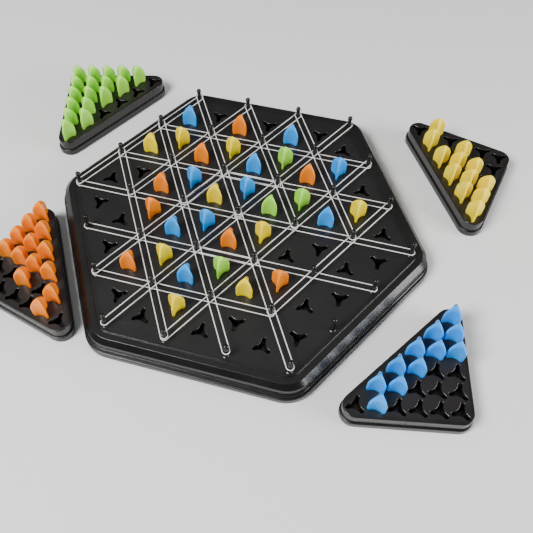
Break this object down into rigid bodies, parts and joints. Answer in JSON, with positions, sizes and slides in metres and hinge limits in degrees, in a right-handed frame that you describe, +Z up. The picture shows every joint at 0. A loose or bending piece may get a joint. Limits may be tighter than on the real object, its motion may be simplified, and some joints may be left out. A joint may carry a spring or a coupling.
{
  "type": "peg and band territory game",
  "caption": "Hexagonal game board with a triangular lattice of posts, elastic bands, three-winged pegs in Y-shaped sockets, and triangular peg trays.",
  "frame": {"origin": "centre of the board's underside, on the surface that the board and the trays stand on", "axes": "+Z up, +X along the rows of posts to the right, +Y to the back"},
  "size_m": [0.3387, 0.2398, 0.033],
  "materials": {
    "board_plastic": "satin black moulded plastic with a fine grain",
    "tray_plastic": "satin black moulded plastic",
    "post_plastic": "glossy black moulded plastic",
    "white_elastic": "matt white elastic cord",
    "blue_plastic": "satin blue moulded plastic",
    "orange_plastic": "satin orange moulded plastic",
    "yellow_plastic": "satin yellow moulded plastic",
    "green_plastic": "satin lime green moulded plastic",
    "screw_steel": "zinc plated steel"
  },
  "bodies": {
    "board": {"board_top": "board_plastic", "board_base": "board_plastic", "board_posts": "post_plastic", "board_screws": "screw_steel"},
    "bands_across_lower": {"bands_across_lower": "white_elastic"},
    "bands_across_upper": {"bands_across_upper": "white_elastic"},
    "bands_rising_lower": {"bands_rising_lower": "white_elastic"},
    "bands_rising_upper": {"bands_rising_upper": "white_elastic"},
    "bands_falling_lower": {"bands_falling_lower": "white_elastic"},
    "bands_falling_upper": {"bands_falling_upper": "white_elastic"},
    "peg_blue_1": {"peg_blue_1": "blue_plastic"},
    "peg_blue_2": {"peg_blue_2": "blue_plastic"},
    "peg_blue_3": {"peg_blue_3": "blue_plastic"},
    "peg_blue_4": {"peg_blue_4": "blue_plastic"},
    "peg_blue_5": {"peg_blue_5": "blue_plastic"},
    "peg_blue_6": {"peg_blue_6": "blue_plastic"},
    "peg_blue_7": {"peg_blue_7": "blue_plastic"},
    "peg_blue_8": {"peg_blue_8": "blue_plastic"},
    "peg_blue_9": {"peg_blue_9": "blue_plastic"},
    "peg_blue_10": {"peg_blue_10": "blue_plastic"},
    "peg_green_1": {"peg_green_1": "green_plastic"},
    "peg_green_2": {"peg_green_2": "green_plastic"},
    "peg_green_3": {"peg_green_3": "green_plastic"},
    "peg_green_4": {"peg_green_4": "green_plastic"},
    "peg_orange_1": {"peg_orange_1": "orange_plastic"},
    "peg_orange_2": {"peg_orange_2": "orange_plastic"},
    "peg_orange_3": {"peg_orange_3": "orange_plastic"},
    "peg_orange_4": {"peg_orange_4": "orange_plastic"},
    "peg_orange_5": {"peg_orange_5": "orange_plastic"},
    "peg_orange_6": {"peg_orange_6": "orange_plastic"},
    "peg_orange_7": {"peg_orange_7": "orange_plastic"},
    "peg_orange_8": {"peg_orange_8": "orange_plastic"},
    "peg_yellow_1": {"peg_yellow_1": "yellow_plastic"},
    "peg_yellow_2": {"peg_yellow_2": "yellow_plastic"},
    "peg_yellow_3": {"peg_yellow_3": "yellow_plastic"},
    "peg_yellow_4": {"peg_yellow_4": "yellow_plastic"},
    "peg_yellow_5": {"peg_yellow_5": "yellow_plastic"},
    "peg_yellow_6": {"peg_yellow_6": "yellow_plastic"},
    "peg_yellow_7": {"peg_yellow_7": "yellow_plastic"},
    "peg_yellow_8": {"peg_yellow_8": "yellow_plastic"},
    "peg_yellow_9": {"peg_yellow_9": "yellow_plastic"},
    "tray_green": {"tray_green_top": "tray_plastic", "tray_green_base": "tray_plastic"},
    "tray_green_pegs": {"tray_green_pegs": "green_plastic"},
    "tray_yellow": {"tray_yellow_top": "tray_plastic", "tray_yellow_base": "tray_plastic"},
    "tray_yellow_pegs": {"tray_yellow_pegs": "yellow_plastic"},
    "tray_blue": {"tray_blue_top": "tray_plastic", "tray_blue_base": "tray_plastic"},
    "tray_blue_pegs": {"tray_blue_pegs": "blue_plastic"},
    "tray_orange": {"tray_orange_top": "tray_plastic", "tray_orange_base": "tray_plastic"},
    "tray_orange_pegs": {"tray_orange_pegs": "orange_plastic"}
  },
  "joints": [
    {"name": "lift_bands_across_lower", "type": "slide", "parent": "board", "child": "bands_across_lower", "axis": [0, 0, 1], "range_m": [0, 0.0125]},
    {"name": "lift_bands_across_upper", "type": "slide", "parent": "bands_across_lower", "child": "bands_across_upper", "axis": [0, 0, 1], "range_m": [0, 0.0125]},
    {"name": "lift_bands_rising_lower", "type": "slide", "parent": "bands_across_upper", "child": "bands_rising_lower", "axis": [0, 0, 1], "range_m": [0, 0.0125]},
    {"name": "lift_bands_rising_upper", "type": "slide", "parent": "bands_rising_lower", "child": "bands_rising_upper", "axis": [0, 0, 1], "range_m": [0, 0.0125]},
    {"name": "lift_bands_falling_lower", "type": "slide", "parent": "bands_rising_upper", "child": "bands_falling_lower", "axis": [0, 0, 1], "range_m": [0, 0.0125]},
    {"name": "lift_bands_falling_upper", "type": "slide", "parent": "bands_falling_lower", "child": "bands_falling_upper", "axis": [0, 0, 1], "range_m": [0, 0.0125]},
    {"name": "lift_peg_blue_1", "type": "slide", "parent": "board", "child": "peg_blue_1", "axis": [0, 0, 1], "range_m": [0, 0.03]},
    {"name": "lift_peg_blue_2", "type": "slide", "parent": "board", "child": "peg_blue_2", "axis": [0, 0, 1], "range_m": [0, 0.03]},
    {"name": "lift_peg_blue_3", "type": "slide", "parent": "board", "child": "peg_blue_3", "axis": [0, 0, 1], "range_m": [0, 0.03]},
    {"name": "lift_peg_blue_4", "type": "slide", "parent": "board", "child": "peg_blue_4", "axis": [0, 0, 1], "range_m": [0, 0.03]},
    {"name": "lift_peg_blue_5", "type": "slide", "parent": "board", "child": "peg_blue_5", "axis": [0, 0, 1], "range_m": [0, 0.03]},
    {"name": "lift_peg_blue_6", "type": "slide", "parent": "board", "child": "peg_blue_6", "axis": [0, 0, 1], "range_m": [0, 0.03]},
    {"name": "lift_peg_blue_7", "type": "slide", "parent": "board", "child": "peg_blue_7", "axis": [0, 0, 1], "range_m": [0, 0.03]},
    {"name": "lift_peg_blue_8", "type": "slide", "parent": "board", "child": "peg_blue_8", "axis": [0, 0, 1], "range_m": [0, 0.03]},
    {"name": "lift_peg_blue_9", "type": "slide", "parent": "board", "child": "peg_blue_9", "axis": [0, 0, 1], "range_m": [0, 0.03]},
    {"name": "lift_peg_blue_10", "type": "slide", "parent": "board", "child": "peg_blue_10", "axis": [0, 0, 1], "range_m": [0, 0.03]},
    {"name": "lift_peg_green_1", "type": "slide", "parent": "board", "child": "peg_green_1", "axis": [0, 0, 1], "range_m": [0, 0.03]},
    {"name": "lift_peg_green_2", "type": "slide", "parent": "board", "child": "peg_green_2", "axis": [0, 0, 1], "range_m": [0, 0.03]},
    {"name": "lift_peg_green_3", "type": "slide", "parent": "board", "child": "peg_green_3", "axis": [0, 0, 1], "range_m": [0, 0.03]},
    {"name": "lift_peg_green_4", "type": "slide", "parent": "board", "child": "peg_green_4", "axis": [0, 0, 1], "range_m": [0, 0.03]},
    {"name": "lift_peg_orange_1", "type": "slide", "parent": "board", "child": "peg_orange_1", "axis": [0, 0, 1], "range_m": [0, 0.03]},
    {"name": "lift_peg_orange_2", "type": "slide", "parent": "board", "child": "peg_orange_2", "axis": [0, 0, 1], "range_m": [0, 0.03]},
    {"name": "lift_peg_orange_3", "type": "slide", "parent": "board", "child": "peg_orange_3", "axis": [0, 0, 1], "range_m": [0, 0.03]},
    {"name": "lift_peg_orange_4", "type": "slide", "parent": "board", "child": "peg_orange_4", "axis": [0, 0, 1], "range_m": [0, 0.03]},
    {"name": "lift_peg_orange_5", "type": "slide", "parent": "board", "child": "peg_orange_5", "axis": [0, 0, 1], "range_m": [0, 0.03]},
    {"name": "lift_peg_orange_6", "type": "slide", "parent": "board", "child": "peg_orange_6", "axis": [0, 0, 1], "range_m": [0, 0.03]},
    {"name": "lift_peg_orange_7", "type": "slide", "parent": "board", "child": "peg_orange_7", "axis": [0, 0, 1], "range_m": [0, 0.03]},
    {"name": "lift_peg_orange_8", "type": "slide", "parent": "board", "child": "peg_orange_8", "axis": [0, 0, 1], "range_m": [0, 0.03]},
    {"name": "lift_peg_yellow_1", "type": "slide", "parent": "board", "child": "peg_yellow_1", "axis": [0, 0, 1], "range_m": [0, 0.03]},
    {"name": "lift_peg_yellow_2", "type": "slide", "parent": "board", "child": "peg_yellow_2", "axis": [0, 0, 1], "range_m": [0, 0.03]},
    {"name": "lift_peg_yellow_3", "type": "slide", "parent": "board", "child": "peg_yellow_3", "axis": [0, 0, 1], "range_m": [0, 0.03]},
    {"name": "lift_peg_yellow_4", "type": "slide", "parent": "board", "child": "peg_yellow_4", "axis": [0, 0, 1], "range_m": [0, 0.03]},
    {"name": "lift_peg_yellow_5", "type": "slide", "parent": "board", "child": "peg_yellow_5", "axis": [0, 0, 1], "range_m": [0, 0.03]},
    {"name": "lift_peg_yellow_6", "type": "slide", "parent": "board", "child": "peg_yellow_6", "axis": [0, 0, 1], "range_m": [0, 0.03]},
    {"name": "lift_peg_yellow_7", "type": "slide", "parent": "board", "child": "peg_yellow_7", "axis": [0, 0, 1], "range_m": [0, 0.03]},
    {"name": "lift_peg_yellow_8", "type": "slide", "parent": "board", "child": "peg_yellow_8", "axis": [0, 0, 1], "range_m": [0, 0.03]},
    {"name": "lift_peg_yellow_9", "type": "slide", "parent": "board", "child": "peg_yellow_9", "axis": [0, 0, 1], "range_m": [0, 0.03]},
    {"name": "lift_tray_green", "type": "slide", "parent": "board", "child": "tray_green", "axis": [0, 0, 1], "range_m": [0, 0.06]},
    {"name": "lift_tray_green_pegs", "type": "slide", "parent": "tray_green", "child": "tray_green_pegs", "axis": [0, 0, 1], "range_m": [0, 0.03]},
    {"name": "lift_tray_yellow", "type": "slide", "parent": "board", "child": "tray_yellow", "axis": [0, 0, 1], "range_m": [0, 0.06]},
    {"name": "lift_tray_yellow_pegs", "type": "slide", "parent": "tray_yellow", "child": "tray_yellow_pegs", "axis": [0, 0, 1], "range_m": [0, 0.03]},
    {"name": "lift_tray_blue", "type": "slide", "parent": "board", "child": "tray_blue", "axis": [0, 0, 1], "range_m": [0, 0.06]},
    {"name": "lift_tray_blue_pegs", "type": "slide", "parent": "tray_blue", "child": "tray_blue_pegs", "axis": [0, 0, 1], "range_m": [0, 0.03]},
    {"name": "lift_tray_orange", "type": "slide", "parent": "board", "child": "tray_orange", "axis": [0, 0, 1], "range_m": [0, 0.06]},
    {"name": "lift_tray_orange_pegs", "type": "slide", "parent": "tray_orange", "child": "tray_orange_pegs", "axis": [0, 0, 1], "range_m": [0, 0.03]}
  ]
}
